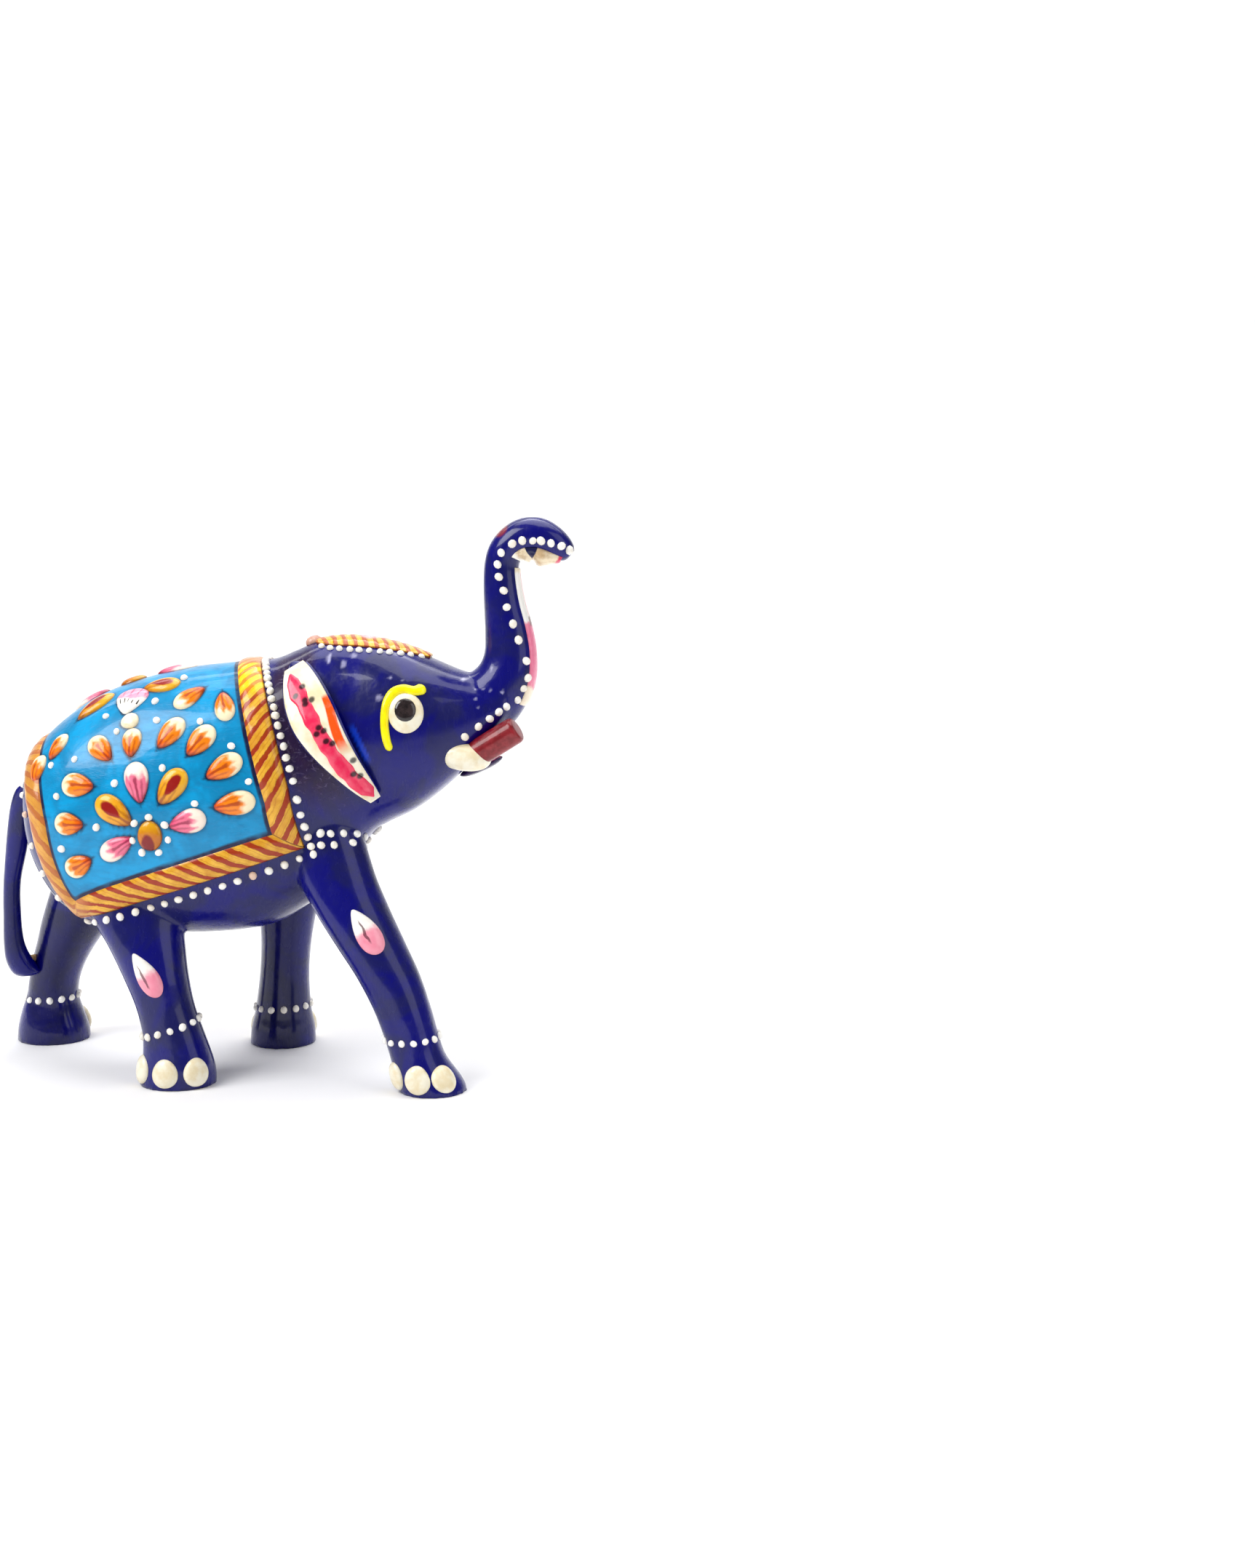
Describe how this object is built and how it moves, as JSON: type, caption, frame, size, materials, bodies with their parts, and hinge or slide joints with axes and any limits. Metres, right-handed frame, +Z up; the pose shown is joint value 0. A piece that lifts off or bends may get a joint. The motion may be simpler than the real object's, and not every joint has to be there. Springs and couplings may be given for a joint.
{
  "type": "carved elephant figurine",
  "caption": "Carved wooden elephant figurine with raised trunk, walking stance, saddle cloth in relief, petals, dots and peg tusks; stands on its soles.",
  "frame": {"origin": "middle of the bounding box in X and Y, on the plane of the soles", "axes": "+X is the way the elephant faces, +Y is its left side, +Z is up"},
  "size_m": [0.1637, 0.0663, 0.149],
  "materials": {
    "body_enamel": "glossy navy enamel over carved wood",
    "bare_wood": "plain turned dowel",
    "cloth_enamel": "turquoise enamel over gesso",
    "gold_enamel": "gold enamel over gesso with dark red strokes",
    "cream_enamel": "cream enamel",
    "white_dots": "glossy white enamel drops",
    "orange_enamel": "white enamel shaded to orange",
    "pink_enamel": "white enamel shaded to pink",
    "amber_enamel": "gold enamel shaded to brown",
    "black_enamel": "glossy black enamel",
    "yellow_enamel": "glossy yellow enamel",
    "red_enamel": "dark red enamel",
    "knob_enamel": "pinkish tan enamel"
  },
  "bodies": {
    "root": {"torso": "body_enamel", "head": "body_enamel", "trunk": "body_enamel", "right_front_leg": "body_enamel", "left_front_leg": "body_enamel", "right_hind_leg": "body_enamel", "left_hind_leg": "body_enamel", "right_ear": "body_enamel", "left_ear": "body_enamel", "tail": "body_enamel", "lower_lip": "body_enamel", "right_tusk_root": "cream_enamel", "left_tusk_root": "cream_enamel", "right_tusk_peg": "red_enamel", "left_tusk_peg": "red_enamel", "neck_dowels": "bare_wood", "trunk_dowel": "bare_wood", "leg_dowels": "bare_wood", "tail_pins": "bare_wood", "ear_pins": "bare_wood", "saddle_cloth": "cloth_enamel", "cloth_border": "gold_enamel", "cloth_edge_dots": "white_dots", "field_dots": "white_dots", "orange_petals": "orange_enamel", "gold_petals": "gold_enamel", "pink_petals": "pink_enamel", "flower_hearts": "amber_enamel", "top_flower": "pink_enamel", "tulip_bases": "cream_enamel", "head_cloth": "gold_enamel", "head_cloth_dots": "white_dots", "head_knob": "knob_enamel", "ear_faces": "cream_enamel", "ear_stripes": "pink_enamel", "eye_whites": "cream_enamel", "pupils": "black_enamel", "eyebrows": "yellow_enamel", "neck_beads": "white_dots", "trunk_dots": "white_dots", "trunk_lining": "cream_enamel", "trunk_mouth": "cream_enamel", "leg_drops": "pink_enamel", "anklet_dots": "white_dots", "toenails": "cream_enamel"}
  },
  "joints": []
}
